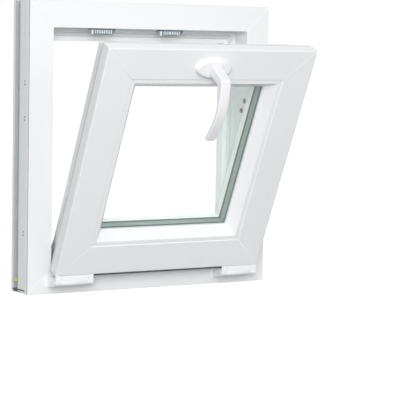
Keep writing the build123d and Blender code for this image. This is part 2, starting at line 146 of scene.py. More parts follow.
class MetalSettings(bpy.types.PropertyGroup):
    """The keeps, stays and screws."""
    zinc: FloatVectorProperty(
        name="Keep colour", description="Die-cast zinc of the keeps",
        subtype="COLOR", size=3, min=0, max=1, default=srgb3("#7E8891"))
    steel: FloatVectorProperty(
        name="Steel colour", description="Zinc-plated steel of the stays and rails",
        subtype="COLOR", size=3, min=0, max=1, default=srgb3("#D2D5D8"))


class StageSettings(bpy.types.PropertyGroup):
    """Light and floor."""
    ambient: FloatProperty(
        name="Ambient", description="Strength of the even light from all round", min=0, max=4, default=0.45)
    key: FloatProperty(
        name="Key light", description="Power of the two soft boxes, in watts", min=0, max=200,
        default=25)
    fill: FloatProperty(
        name="Fill light", description="Strength of the low broad light from the front left", min=0, max=20,
        default=1.42)
    back: FloatProperty(
        name="Back light", description="Strength of the soft light on the side of the open air",
        min=0, max=20, default=0.6)
    bounce: FloatProperty(
        name="Floor bounce", description="How much light the floor throws back up at the window",
        subtype="FACTOR", min=0, max=1, default=0.38)
    white_backdrop: BoolProperty(
        name="White backdrop", description="Show the surroundings as plain white to the camera",
        default=True)


# Mesh helpers

def on_frame(sx, sz, depth, inward):
    """A point in the mitre plane of one corner of the frame, in millimetres."""
    z = inward if sz < 0 else FRAME_HEIGHT - inward
    return Vector((sx * (FRAME_WIDTH / 2 - inward), ROOM_FACE + depth, z))


def on_sash(u, v, w):
    """A point of the open sash: across from its middle, up from its bottom edge, back from its face."""
    return TURN @ Vector((u, SASH_FACE + w, SASH_INSET + v))


def sash_corner(sx, sz, depth, inward):
    """A point in the mitre plane of one corner of the sash, in millimetres."""
    v = inward if sz < 0 else SASH_HEIGHT - inward
    return on_sash(sx * (SASH_WIDTH / 2 - inward), v, depth)


def finish_mesh(name, bm, material, body):
    """Turns a bmesh in millimetres into a piece of the window that rides on a body."""
    bmesh.ops.recalc_face_normals(bm, faces=bm.faces)
    for vert in bm.verts:
        vert.co *= MM
    mesh = bpy.data.meshes.new(name)
    bm.to_mesh(mesh)
    bm.free()
    mesh.shade_smooth()
    mesh.set_sharp_from_angle(angle=radians(SHARP_ABOVE))
    piece = bpy.data.objects.new(name, mesh)
    bpy.context.scene.collection.objects.link(piece)
    piece.data.materials.append(bpy.data.materials[material])
    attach(piece, body)


def bridge(bm, rows):
    """Faces between neighbouring closed rows of vertices."""
    for a, b in zip(rows, rows[1:]):
        count = len(a)
        for i in range(count):
            j = (i + 1) % count
            bm.faces.new((a[i], a[j], b[j], b[i]))


def tube(bm, path, across, normals, half_width, half_height, sides=8):
    """A closed flat tube along a path; across is one fixed direction, normals one per point."""
    rows = []
    for point, normal in zip(path, normals):
        row = []
        for k in range(sides):
            angle = 2 * pi * k / sides
            spot = point + across * (half_width * cos(angle))
            row.append(bm.verts.new(spot + normal * (half_height * sin(angle))))
        rows.append(row)
    bridge(bm, rows)
    bm.faces.new(rows[0])
    bm.faces.new(rows[-1])


def corner_line(bm, place, sx, sz, outline, half_width, half_height):
    """A flat tube along a mitre, following a section outline of (depth, inward) points."""
    path = [place(sx, sz, d, s) for d, s in outline]
    step = place(sx, sz, 0, 1) - place(sx, sz, 0, 0)
    back = place(sx, sz, 1, 0) - place(sx, sz, 0, 0)
    diagonal = step.normalized()
    across = diagonal.cross(back).normalized()
    flat = []
    for i in range(len(outline) - 1):
        d, s = outline[i + 1][0] - outline[i][0], outline[i + 1][1] - outline[i][1]
        length = (d * d + s * s) ** 0.5
        flat.append((s / length, -d / length))
    normals = []
    for i in range(len(outline)):
        before = flat[max(i - 1, 0)]
        after = flat[min(i, len(flat) - 1)]
        normal = -(back * (before[0] + after[0]) + diagonal * (before[1] + after[1]))
        normals.append(normal.normalized())
    tube(bm, path, across, normals, half_width, half_height)


def ring(bm, place, section):
    """A four-sided ring of a closed section of (depth, inward) points."""
    corners = ((-1, -1), (1, -1), (1, 1), (-1, 1))
    rows = [[bm.verts.new(place(sx, sz, d, s)) for d, s in section] for sx, sz in corners]
    bridge(bm, rows + [rows[0]])


def lathe(bm, centre, axis, side, profile, segments=32, cross=0.0):
    """A turned form: profile is (radius, height) points from the middle out; cross sinks a cross recess."""
    axis = axis.normalized()
    side = side.normalized()
    other = axis.cross(side)
    first = bm.verts.new(centre + axis * (profile[0][1] - cross))
    rows = []
    for index, (radius, height) in enumerate(profile[1:]):
        row = []
        for k in range(segments):
            angle = 2 * pi * k / segments
            sunk = cross if cross and index < 3 and k % (segments // 4) == 0 else 0
            spot = centre + side * (radius * cos(angle)) + other * (radius * sin(angle))
            row.append(bm.verts.new(spot + axis * (height - sunk)))
        rows.append(row)
    for k in range(segments):
        bm.faces.new((first, rows[0][k], rows[0][(k + 1) % segments]))
    bridge(bm, rows)
    bm.faces.new(rows[-1])


def pan_head(bm, centre, axis, side, radius, height):
    """A domed screw head with a cross recess."""
    shape = (0, 0.2, 0.38, 0.55, 0.75, 0.92, 1.0, 1.0)
    rise = (1, 1, 0.97, 0.93, 0.82, 0.6, 0.3, -0.2)
    profile = [(radius * r, height * h) for r, h in zip(shape, rise)]
    lathe(bm, centre, axis, side, profile, cross=0.6 * height)


# Material helpers

def add_node(tree, kind, inputs=None, **settings):
    """One node with its settings, its values and its links.

    A colour mix has its factor at input 0, its two colours at 6 and 7 and its result at output 2.
    """
    node = tree.nodes.new(kind)
    for key, value in settings.items():
        setattr(node, key, value)
    for key, value in (inputs or {}).items():
        if isinstance(value, bpy.types.NodeSocket):
            tree.links.new(value, node.inputs[key])
        else:
            node.inputs[key].default_value = value
    return node


def new_material(name):
    """A new material's empty node tree."""
    material = bpy.data.materials.new(name)
    material.use_nodes = True
    material.node_tree.nodes.clear()
    return material.node_tree


def grain(tree, size_mm, detail=2.0, stretch=(1, 1, 1)):
    """Noise whose features are size_mm across, drawn out along an axis by a small stretch value."""
    place = add_node(tree, "ShaderNodeTexCoord")
    scale = tuple(1000 / size_mm * s for s in stretch)
    mapping = add_node(tree, "ShaderNodeMapping", {"Vector": place.outputs["Object"], "Scale": scale})
    return add_node(tree, "ShaderNodeTexNoise", {"Vector": mapping.outputs["Vector"], "Scale": 1.0,
                                                 "Detail": detail}).outputs["Fac"]


def surface(tree, colour, bumps, **values):
    """A principled surface with bumps of (height, strength, distance in millimetres)."""
    normal = None
    for height, strength, distance in bumps:
        inputs = {"Height": height, "Strength": strength, "Distance": distance * MM}
        if normal is not None:
            inputs["Normal"] = normal
        normal = add_node(tree, "ShaderNodeBump", inputs).outputs["Normal"]
    inputs = {"Base Color": colour, **{k.replace("_", " "): v for k, v in values.items()}}
    if normal is not None:
        inputs["Normal"] = normal
    shader = add_node(tree, "ShaderNodeBsdfPrincipled", inputs)
    add_node(tree, "ShaderNodeOutputMaterial", {"Surface": shader.outputs["BSDF"]})


def shade(colour, factor):
    """A linear colour made darker or lighter by a factor, with alpha one."""
    return tuple(min(c * factor, 1.0) for c in colour[:3]) + (1.0,)


def outer_side(tree, colour, dust_and_shade_mottle):
    """The frame's hidden outer side, by distance from the edge and depth: greyer skin, with painted shade in
    its groove and along its rounded edges.
    """
    place = add_node(tree, "ShaderNodeTexCoord").outputs["Object"]
    spot = add_node(tree, "ShaderNodeSeparateXYZ", {"Vector": place})
    across = add_node(tree, "ShaderNodeMath", {0: spot.outputs["X"]}, operation="ABSOLUTE")
    side_at, top_at = FRAME_WIDTH / 2 * MM, FRAME_HEIGHT * MM
    side = add_node(tree, "ShaderNodeMath", {0: side_at, 1: across.outputs[0]}, operation="SUBTRACT")
    top = add_node(tree, "ShaderNodeMath", {0: top_at, 1: spot.outputs["Z"]}, operation="SUBTRACT")
    end = add_node(tree, "ShaderNodeMath", {0: top.outputs[0], 1: spot.outputs["Z"]}, operation="MINIMUM")
    edge = add_node(tree, "ShaderNodeMath", {0: side.outputs[0], 1: end.outputs[0]}, operation="MINIMUM")
    bands = (   # reach from the edge, depth where it starts and stops, darker and lighter tone
        # greyer skin of the outer side
        (0.4, 0.9, 40.4, "#E6EBED", "#EFF2F4"),
        # the clip groove, darker: painted shade
        (6.4, 38.5, 57.5, "#B4B9BB", "#C2C6C8"),
        # the rounded edge on the room side, darker: painted shade
        (0.5, 0.8, 3.0, "#9A9BA5", "#A9AAB3"),
        # the rounded outer edge, darker: painted shade
        (4.5, 65.2, 71.0, "#ABAEB1", "#BBBEC0"),
    )
    for reach, start, stop, low, high in bands:
        near = add_node(tree, "ShaderNodeMath", {0: edge.outputs[0], 1: reach * MM}, operation="LESS_THAN")
        middle, half = (ROOM_FACE + (start + stop) / 2) * MM, (stop - start) / 2 * MM
        within = add_node(tree, "ShaderNodeMath", {
            0: spot.outputs["Y"], 1: middle, 2: half}, operation="COMPARE")
        mask = add_node(tree, "ShaderNodeMath", {
            0: near.outputs[0], 1: within.outputs[0]}, operation="MULTIPLY")
        band = add_node(tree, "ShaderNodeMix", {0: dust_and_shade_mottle, 6: srgb(low), 7: srgb(high)}, data_type="RGBA")
        over = add_node(tree, "ShaderNodeMix", {0: mask.outputs[0], 6: colour, 7: band.outputs[2]},
                        data_type="RGBA")
        colour = over.outputs[2]
    return colour


def make_pvc(name, stretch, hidden_side=False):
    # Unplasticised PVC, extruded and welded: a smooth satin skin with faint lines along the bar, drawn
    # coarser than they are so that they show, and a very slow drift of tone. The frame's outer side,
    # which the wall hides, is greyer, with painted shade in its clip groove and along its rounded edges
    settings = bpy.context.scene.tilt_pvc
    tree = new_material(name)
    drift = grain(tree, 140, 1.0)
    # The sash bars take the sash tone, which below one is painted shade
    base = shade(settings.colour, 1.0 if hidden_side else settings.sash_tone)
    tone = add_node(tree, "ShaderNodeMix", {0: drift, 6: shade(base, 0.975), 7: base}, data_type="RGBA")
    colour = tone.outputs[2]
    lines = grain(tree, 2.5, 2.0, stretch)
    if hidden_side:
        colour = outer_side(tree, colour, grain(tree, 18, 3.0))
    surface(tree, colour, ((lines, 0.10, 0.10),), Roughness=settings.roughness, IOR=1.53)


def make_weld():
    # The trimmed weld of two PVC bars, cut with a knife: a little smoother than the skin, and lighter than
    # it as a painted highlight
    tree = new_material("pvc_weld_painted_highlight")
    cut = grain(tree, 1.5)
    tone = add_node(tree, "ShaderNodeMix", {
        0: cut, 6: srgb("#F8F9F9"), 7: srgb("#FFFFFF")}, data_type="RGBA")
    surface(tree, tone.outputs[2], ((cut, 0.15, 0.04),), Roughness=0.26)


def make_seam():
    # The open joint between two cut bars: a hairline that holds a shadow and a little dust
    tree = new_material("pvc_joint_shadow")
    dust_and_shade_mottle = grain(tree, 3)
    tone = add_node(tree, "ShaderNodeMix", {
        0: dust_and_shade_mottle, 6: srgb("#B4B8BB"), 7: srgb("#CDD0D2")}, data_type="RGBA")
    surface(tree, tone.outputs[2], ((dust_and_shade_mottle, 0.2, 0.05),), Roughness=0.8)


def make_seal(name, low, high):
    # Seal strips, soft PVC beside the white bars and rubber at the outer pane, both extruded: matt, with
    # a film of dust and fine dimples from the die
    tree = new_material(name)
    dimple = grain(tree, 1.2, 3.0)
    tone = add_node(tree, "ShaderNodeMix", {
        0: grain(tree, 25), 6: srgb(low), 7: srgb(high)}, data_type="RGBA")
    surface(tree, tone.outputs[2], ((dimple, 0.25, 0.08),), Roughness=0.62)


def make_spacer():
    # Spacer bar between the panes, roll-formed aluminium: dull, faintly streaked, its grey darkened as
    # painted shade for the dim gap between the panes
    tree = new_material("spacer_aluminium_rolled")
    streak = grain(tree, 1.6, 2.0, (0.2, 1, 1))
    tone = add_node(tree, "ShaderNodeMix", {
        0: streak, 6: srgb("#78847F"), 7: srgb("#8F9995")}, data_type="RGBA")
    surface(tree, tone.outputs[2], ((streak, 0.15, 0.05),), Roughness=0.5, Metallic=0.35)


def make_butyl():
    # Butyl sealant pressed between spacer and glass: nearly black, soft, slightly shiny
    tree = new_material("butyl_sealant_pressed")
    lump = grain(tree, 1.5, 3.0)
    tone = add_node(tree, "ShaderNodeMix", {
        0: lump, 6: srgb("#2B3331"), 7: srgb("#46504D")}, data_type="RGBA")
    surface(tree, tone.outputs[2], ((lump, 0.5, 0.15),), Roughness=0.5)


def make_zinc():
    # Die-cast zinc with a chromate film: cool blue-grey, softly mottled
    settings = bpy.context.scene.tilt_metal
    tree = new_material("zinc_die_cast")
    mottle = grain(tree, 5, 3.0)
    fine = grain(tree, 0.8, 2.0)
    dull, bright = shade(settings.zinc, 0.82), shade(settings.zinc, 1.08)
    tone = add_node(tree, "ShaderNodeMix", {0: mottle, 6: dull, 7: bright}, data_type="RGBA")
    surface(tree, tone.outputs[2], ((fine, 0.3, 0.05),), Roughness=0.42, Metallic=0.75)


def make_steel():
    # Zinc-plated pressed steel: bright with a soft spangle, brushed lightly by handling
    settings = bpy.context.scene.tilt_metal
    tree = new_material("steel_zinc_plated")
    spangle = grain(tree, 7, 2.0)
    brushed = grain(tree, 0.6, 2.0, (1, 1, 0.1))
    dull, bright = shade(settings.steel, 0.85), shade(settings.steel, 1.05)
    tone = add_node(tree, "ShaderNodeMix", {0: spangle, 6: dull, 7: bright}, data_type="RGBA")
    surface(tree, tone.outputs[2], ((brushed, 0.2, 0.04),), Roughness=0.36, Metallic=0.8)


def make_dark_steel():
    # Black passivated screw steel: dark, slightly oily, so it shines in small points
    tree = new_material("steel_black_passivated")
    film = grain(tree, 2, 2.0)
    tone = add_node(tree, "ShaderNodeMix", {
        0: film, 6: srgb("#3A3F42"), 7: srgb("#5C6265")}, data_type="RGBA")
    surface(tree, tone.outputs[2], ((film, 0.2, 0.05),), Roughness=0.38, Metallic=0.8)


def make_hinge():
    # Powder-coated hinge castings: white, glossier than the bars, with the paint's fine orange peel
    tree = new_material("zinc_powder_coated_white")
    peel = grain(tree, 1.8, 2.0)
    drift = grain(tree, 40)
    tone = add_node(tree, "ShaderNodeMix", {
        0: drift, 6: srgb("#ECEEF0"), 7: srgb("#F5F6F7")}, data_type="RGBA")
    surface(tree, tone.outputs[2], ((peel, 0.12, 0.08),), Roughness=0.26)


def make_handle():
    # Powder-coated aluminium handle: white with a cool cast, satin, fine orange peel
    settings = bpy.context.scene.tilt_handle
    tree = new_material("aluminium_powder_coated_white")
    peel = grain(tree, 1.5, 2.0)
    dull, bright = shade(settings.colour, 0.97), shade(settings.colour, 1.0)
    tone = add_node(tree, "ShaderNodeMix", {0: grain(tree, 45), 6: dull, 7: bright}, data_type="RGBA")
    surface(tree, tone.outputs[2], ((peel, 0.10, 0.08),), Roughness=0.3)


def make_yellow():
    # Moulded yellow polyethylene plug: waxy and plain
    tree = new_material("polyethylene_plug_moulded")
    wax = grain(tree, 2)
    tone = add_node(tree, "ShaderNodeMix", {
        0: wax, 6: srgb("#BFC45A"), 7: srgb("#D6DA7C")}, data_type="RGBA")
    surface(tree, tone.outputs[2], ((wax, 0.1, 0.05),), Roughness=0.45)


def make_glass():
    # Clear float glass: polished faces with a trace of green, and a very long, faint roller wave;
    # it lets the lamps' light through, as a thin pane does
    tree = new_material("float_glass_clear")
    wave = grain(tree, 160, 1.0)
    bend = add_node(tree, "ShaderNodeBump", {"Height": wave, "Strength": 0.02, "Distance": 0.2 * MM})
    tint = add_node(tree, "ShaderNodeMix", {
        0: grain(tree, 200, 1.0), 6: srgb("#FBFEFC"), 7: srgb("#FDFFFE")}, data_type="RGBA")
    glass = add_node(tree, "ShaderNodeBsdfPrincipled", {
        "Base Color": tint.outputs[2], "Roughness": 0.0, "IOR": 1.52, "Transmission Weight": 1.0,
        "Normal": bend.outputs["Normal"]})
    path = add_node(tree, "ShaderNodeLightPath")
    clear = add_node(tree, "ShaderNodeBsdfTransparent", {"Color": srgb("#F9FDFB")})
    mix = add_node(tree, "ShaderNodeMixShader", {
        0: path.outputs["Is Shadow Ray"], 1: glass.outputs["BSDF"], 2: clear.outputs["BSDF"]})
    add_node(tree, "ShaderNodeOutputMaterial", {"Surface": mix.outputs["Shader"]})


NODE_FINISH = {
    "pvc_frame_across": ("frame_head", "frame_sill"),
    "pvc_frame_upright": ("frame_left_jamb", "frame_right_jamb"),
    "pvc_extruded_across": ("sash_top_rail", "sash_bottom_rail", "top_glazing_bead", "bottom_glazing_bead"),
    "pvc_extruded_upright": ("sash_left_stile", "sash_right_stile", "left_glazing_bead",
                             "right_glazing_bead"),
    "rubber_seal_dark": ("outer_glazing_gasket",),
    "soft_pvc_seal_pale": ("inner_glazing_gasket",),
    "soft_pvc_seal_light": ("frame_gasket", "sash_gasket"),
    "float_glass_clear": ("inner_pane", "outer_pane"),
    "spacer_aluminium_rolled": ("spacer_frame",),
    "zinc_die_cast": ("left_keep", "right_keep"),
    "steel_zinc_plated": ("lock_rail", "left_locking_cam", "right_locking_cam", "left_stay_bracket",
                          "right_stay_bracket", "left_stay_arm", "right_stay_arm", "left_stay_track",
                          "right_stay_track", "left_hinge_pin", "right_hinge_pin", "handle_spindle"),
    "zinc_powder_coated_white": ("left_hinge_bracket", "right_hinge_bracket", "left_hinge_leaf",
                                 "right_hinge_leaf"),
    "aluminium_powder_coated_white": ("handle_rose", "handle_lever"),
}


class TILTWINDOW_OT_finishes(bpy.types.Operator):
    """Make every finish and give it to the CAD pieces"""
    bl_idname = "tiltwindow.finishes"
    bl_label = "Finishes"

    def execute(self, context):
        make_pvc("pvc_frame_across", (0.02, 1, 1), hidden_side=True)
        make_pvc("pvc_frame_upright", (1, 1, 0.02), hidden_side=True)
        make_pvc("pvc_extruded_across", (0.02, 1, 1))
        make_pvc("pvc_extruded_upright", (1, 1, 0.02))
        make_weld()
        make_seam()
        make_seal("rubber_seal_dark", "#3E4240", "#51534F")
        make_seal("soft_pvc_seal_pale", "#C9D1D4", "#D8DEE0")
        make_seal("soft_pvc_seal_light", "#D2D6D6", "#E0E3E3")
        make_spacer()
        make_butyl()
        make_zinc()
        make_steel()
        make_dark_steel()
        make_hinge()
        make_handle()
        make_yellow()
        make_glass()
        dressed = set()
        for finish, names in NODE_FINISH.items():
            for name in names:
                for slot in frame["nodes"][name].material_slots:
                    slot.material = bpy.data.materials[finish]
                dressed.add(name)
        bare = set(frame["nodes"]) - dressed
        if bare:
            raise RuntimeError(f"no finish for {sorted(bare)}")
        return {"FINISHED"}


# Section outlines of (depth, inward) points that the corner lines follow
FRAME_OUTLINE = ((0, 1.2), (0, 45.8), (1.2, 47), (37.9, 47), (38.8, 45), (46, 45), (46, 54.8))
FRAME_LEG_OUTLINE = ((46, 61.8), (46, 68.4), (47.6, 70), (68.4, 70))
FRAME_REAR_OUTLINE = ((70, 68), (70, 7))
SASH_OUTLINE = ((0.7, 0.7), (0, 2.5), (0, 56.8), (1.4, 58))
SASH_REAR_OUTLINE = ((70.5, 21), (70.5, 75), (69.5, 76.2), (51, 80))
BEAD_OUTLINE = ((1.5, 58.2), (1.5, 64.8), (2.6, 66.6), (20.6, 79.6), (22.3, 80))


class TILTWINDOW_OT_welds(bpy.types.Operator):
    """Weld lines at the corners of the frame and the sash"""
    bl_idname = "tiltwindow.welds"
    bl_label = "Weld lines"

    def execute(self, context):
        settings = context.scene.tilt_pvc
        half, rise = settings.weld_width / 2, settings.weld_height
        lines = (
            ("frame_welds", on_frame, (FRAME_OUTLINE, FRAME_LEG_OUTLINE, FRAME_REAR_OUTLINE), "frame"),
            ("sash_welds", sash_corner, (SASH_OUTLINE, SASH_REAR_OUTLINE), "sash"),
        )
        for name, place, outlines, body in lines:
            bm = bmesh.new()
            for sx in (-1, 1):
                for sz in (-1, 1):
                    for outline in outlines:
                        corner_line(bm, place, sx, sz, outline, half, rise)
            finish_mesh(name, bm, "pvc_weld_painted_highlight", body)
        return {"FINISHED"}


class TILTWINDOW_OT_bead_joints(bpy.types.Operator):
    """Hairline joints where the glazing beads meet"""
    bl_idname = "tiltwindow.bead_joints"
    bl_label = "Bead joints"

    def execute(self, context):
        bm = bmesh.new()
        for sx in (-1, 1):
            for sz in (-1, 1):
                corner_line(bm, sash_corner, sx, sz, BEAD_OUTLINE, 0.3, 0.06)
        finish_mesh("bead_joints", bm, "pvc_joint_shadow", "sash")
        return {"FINISHED"}


class TILTWINDOW_OT_glazing(bpy.types.Operator):
    """Sealant and perforations of the spacer between the panes"""
    bl_idname = "tiltwindow.glazing"
    bl_label = "Glazing details"

    def execute(self, context):
        bm = bmesh.new()
        for near, far in SEALANT_DEPTHS:
            crown = (near + far) / 2
            ring(bm, sash_corner, ((near, 81.2), (near, 82.1), (crown, 82.4), (far, 82.1), (far, 81.2)))
        finish_mesh("butyl_seal", bm, "butyl_sealant_pressed", "sash")

        # The perforations are dark dots in the butyl finish, standing for the shade inside the small holes:
        # painted shade
        bm = bmesh.new()
        half_w, half_h = SASH_WIDTH / 2 - SPACER_SIGHT, SASH_HEIGHT / 2 - SPACER_SIGHT
        pitch = 8
        inward_up = on_sash(0, 1, 0) - on_sash(0, 0, 0)
        back = on_sash(0, 0, 1) - on_sash(0, 0, 0)
        across = Vector((1, 0, 0))
        middle = SASH_HEIGHT / 2
        profile = ((0, 0.12), (0.45, 0.11), (0.75, 0.06), (0.9, -0.1))
        for row_depth in (33, 39):
            count = int(2 * half_w // pitch)
            for i in range(count):
                u = (i - (count - 1) / 2) * pitch
                lathe(bm, on_sash(u, SPACER_SIGHT, row_depth), inward_up, back, profile, 8)
                lathe(bm, on_sash(u, SASH_HEIGHT - SPACER_SIGHT, row_depth), -inward_up, back, profile, 8)
            count = int(2 * half_h // pitch)
            for i in range(count):
                v = middle + (i - (count - 1) / 2) * pitch
                lathe(bm, on_sash(-half_w, v, row_depth), across, back, profile, 8)
                lathe(bm, on_sash(half_w, v, row_depth), -across, back, profile, 8)
        finish_mesh("spacer_perforations", bm, "butyl_sealant_pressed", "sash")
        return {"FINISHED"}


class TILTWINDOW_OT_screws(bpy.types.Operator):
    """Screw heads on the keeps, stays and hinges"""
    bl_idname = "tiltwindow.screws"
    bl_label = "Screws"

    def execute(self, context):
        down = Vector((0, 0, -1))
        inward_y = Vector((0, 1, 0))
        room = Vector((0, -1, 0))
        across = Vector((1, 0, 0))
        keep_offsets, keep_floor = (-16, 16), LINING_TOP - 1.4
        bm = bmesh.new()
        for centre in KEEP_CENTRES:
            for offset in keep_offsets:
                pan_head(bm, Vector((centre + offset, KEEP_SCREW_ROW, keep_floor)), down, inward_y, 3.3, 1.2)
        finish_mesh("keep_screws", bm, "steel_zinc_plated", "frame")

        bracket_heights, bracket_row = (82.5, 98.5), ROOM_FACE + 16
        bracket_face = FRAME_WIDTH / 2 - FRAME_FACE - 3.4
        bm = bmesh.new()
        for sx in (-1, 1):
            for height in bracket_heights:
                spot = Vector((sx * bracket_face, bracket_row, height))
                pan_head(bm, spot, Vector((-sx, 0, 0)), inward_y, 3.1, 0.45)
        finish_mesh("bracket_screws", bm, "steel_black_passivated", "frame")

        track_heights, track_depth = (58, 72), 45
        track_face = SASH_WIDTH / 2 - 20 + 2.2
        back = on_sash(0, 0, 1) - on_sash(0, 0, 0)
        bm = bmesh.new()
        for sx in (-1, 1):
            for height in track_heights:
                spot = on_sash(sx * track_face, height, track_depth)
                pan_head(bm, spot, Vector((sx, 0, 0)), back, 2.4, 0.4)
        finish_mesh("track_screws", bm, "steel_black_passivated", "sash")

        plate_offsets, plate_face, plate_height = (-15, 15), ROOM_FACE - 6, 16.9
        bm = bmesh.new()
        for sx in (-1, 1):
            for offset in plate_offsets:
                spot = Vector((sx * HINGE_CENTRE + offset, plate_face, plate_height))
                pan_head(bm, spot, room, across, 2.6, 0.7)
        finish_mesh("hinge_screws", bm, "steel_zinc_plated", "frame")
        return {"FINISHED"}


class TILTWINDOW_OT_hinge_caps(bpy.types.Operator):
    """Domed caps over the ends of the hinge pins"""
    bl_idname = "tiltwindow.hinge_caps"
    bl_label = "Hinge caps"

    def execute(self, context):
        profile = ((0, 1.1), (2, 1.05), (4, 0.85), (5.2, 0.5), (5.8, 0.1), (5.9, -0.3))
        bm = bmesh.new()
        for sx in (-1, 1):
            for end in (-1, 1):
                spot = Vector((sx * HINGE_CENTRE + end * HINGE_HALF, HINGE.y, HINGE.z))
                lathe(bm, spot, Vector((end, 0, 0)), Vector((0, 1, 0)), profile)
        finish_mesh("hinge_caps", bm, "zinc_powder_coated_white", "frame")
        return {"FINISHED"}


class TILTWINDOW_OT_hinge_covers(bpy.types.Operator):
    """Moulded covers that carry the sash's edge down over the hinge barrels"""
    bl_idname = "tiltwindow.hinge_covers"
    bl_label = "Hinge covers"

    def execute(self, context):
        inner, outer, sash_edge = 7.25, 7.95, 14
        arc = [radians(a) for a in range(144, 187, 6)]
        shell = [(-1.6, 14.7), (-2.4, 13.9), (-4.2, 9.6), (-5.7, 6.6)]
        shell += [(outer * cos(a), outer * sin(a)) for a in arc]
        shell += [((inner + 0.3) * cos(arc[-1] + 0.04), (inner + 0.3) * sin(arc[-1] + 0.04))]
        back = [radians(a) for a in range(186, 85, -6)]
        shell += [(inner * cos(a), inner * sin(a)) for a in back]
        shell += [(0.6, 7.4), (0.6, 14.7)]
        ends = ((-HINGE_HALF - 0.2, 0.93), (-HINGE_HALF, 1.0), (-27.4, 1.0), (-27.2, 0.965), (-26.8, 0.965),
                (-26.6, 1.0), (26.6, 1.0), (26.8, 0.965), (27.2, 0.965), (27.4, 1.0), (HINGE_HALF, 1.0),
                (HINGE_HALF + 0.2, 0.93))
        middle = (inner + outer) / 2
        bm = bmesh.new()
        for sx in (-1, 1):
            rows = []
            for offset, size in ends:
                row = []
                for dy, dz in shell:
                    past_middle = max((dy * dy + dz * dz) ** 0.5 - middle, 0)
                    pull = 1 + (size - 1) * past_middle / (outer - middle) * 0.5
                    if dz > sash_edge:
                        pull = 1
                    spot = Vector((sx * HINGE_CENTRE + offset, HINGE.y + dy * pull, HINGE.z + dz * pull))
                    row.append(bm.verts.new(TURN @ spot))
                rows.append(row)
            bridge(bm, rows)
            bm.faces.new(rows[0])
            bm.faces.new(rows[-1])
        finish_mesh("hinge_covers", bm, "zinc_powder_coated_white", "sash")
        return {"FINISHED"}


class TILTWINDOW_OT_shade_strip(bpy.types.Operator):
    """Dark strip along the sash's bottom edge, between the hinges: painted shade for the shade under that
    edge
    """
    bl_idname = "tiltwindow.drip_strip"
    bl_label = "Shade strip"

    def execute(self, context):
        # A dark strip that stands in for the shade under the sash's rounded bottom edge: painted shade
        lip = ((-60.2, 38.2), (-62.9, 38.2), (-63.2, 37.2), (-62.9, 35.6), (-62.1, 34.5), (-61.4, 35.0),
               (-61.0, 36.6))
        heel_y, heel_z = -61.6, 38.2
        bm = bmesh.new()
        stop = HINGE_CENTRE - HINGE_HALF - 0.4
        start = -stop
        rows = []
        for x in (start, start + 1, -40, 40, stop - 1, stop):
            squeeze = 0.7 if x in (start, stop) else 1
            section = [(heel_y + (y - heel_y) * squeeze, heel_z + (z - heel_z) * squeeze) for y, z in lip]
            rows.append([bm.verts.new(TURN @ Vector((x, y, z))) for y, z in section])
        bridge(bm, rows)
        bm.faces.new(rows[0])
        bm.faces.new(rows[-1])
        finish_mesh("drip_strip", bm, "rubber_seal_dark", "sash")
        return {"FINISHED"}


class TILTWINDOW_OT_keep_trim(bpy.types.Operator):
    """Ribs on the jaws of the keeps, and the white run-in block at one end"""
    bl_idname = "tiltwindow.keep_trim"
    bl_label = "Keep ribs"

    def execute(self, context):
        room = Vector((0, -1, 0))
        across = Vector((1, 0, 0))
        ribs, first_rib, rib_pitch = 10, -17, 3.6
        bm = bmesh.new()
        for centre in KEEP_CENTRES:
            for i in range(ribs):
                x = centre + first_rib + i * rib_pitch
                path = [Vector((x, KEEP_FRONT, LINING_TOP - h)) for h in (2.6, 3.0, 8.6, 9.0)]
                tube(bm, path, across, [room] * 4, 0.85, 0.55, sides=10)
        finish_mesh("keep_ribs", bm, "steel_zinc_plated", "frame")
        bm = bmesh.new()
        for centre in KEEP_CENTRES:
            x = centre - 22.6
            path = [Vector((x, KEEP_FRONT + 2.4, LINING_TOP - h)) for h in (2.5, 3.0, 9.7, 10.3)]
            tube(bm, path, across, [room] * 4, 1.9, 3.1, sides=16)
        finish_mesh("keep_run_ins", bm, "zinc_powder_coated_white", "frame")
        return {"FINISHED"}


class TILTWINDOW_OT_handle_trim(bpy.types.Operator):
    """Bush round the handle's neck"""
    bl_idname = "tiltwindow.handle_trim"
    bl_label = "Handle bush"

    def execute(self, context):
        centre = on_sash(0, HANDLE_HEIGHT, -9)
        out = on_sash(0, 0, -1) - on_sash(0, 0, 0)
        side = Vector((1, 0, 0))
        other = out.cross(side)
        section = ((8.56, -0.6), (8.56, 0.1), (8.75, 0.22), (9.3, 0.2), (9.7, -0.05), (9.7, -0.6))
        segments = 64
        bm = bmesh.new()
        rows = []
        for k in range(segments):
            angle = 2 * pi * k / segments
            spoke = side * cos(angle) + other * sin(angle)
            rows.append([bm.verts.new(centre + spoke * r + out * h) for r, h in section])
        bridge(bm, rows + [rows[0]])
        finish_mesh("handle_bush", bm, "aluminium_powder_coated_white", "sash")
        return {"FINISHED"}


